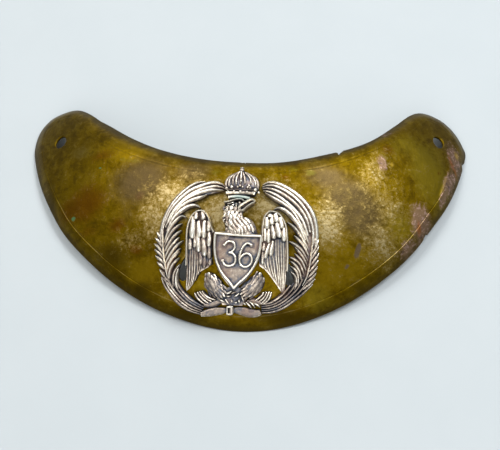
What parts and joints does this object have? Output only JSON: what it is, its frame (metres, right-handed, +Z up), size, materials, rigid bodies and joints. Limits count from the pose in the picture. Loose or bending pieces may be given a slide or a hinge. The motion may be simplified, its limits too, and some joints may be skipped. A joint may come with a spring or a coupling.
{
  "type": "officer's gorget with pierced eagle badge",
  "caption": "Crescent neck plate of gilt sheet brass with a turned-down edge, a ribbon hole in each horn, and a silvered pierced badge of a crowned eagle in a palm wreath.",
  "frame": {"origin": "on the table that the gorget lies on, under the middle of its bounding box", "axes": "+X from horn to horn, +Y towards the neck, +Z up out of the convex face"},
  "size_m": [0.16, 0.0896, 0.0303],
  "materials": {
    "gilt_brass": "old gilding, tarnished and worn",
    "silvered_badge": "worn silver plate, dark in the recesses",
    "nut_brass": "plain"
  },
  "bodies": {
    "root": {"gorget_plate": "gilt_brass", "badge": "silvered_badge", "badge_nut_top": "nut_brass", "badge_nut_left": "nut_brass", "badge_nut_right": "nut_brass"}
  },
  "joints": []
}
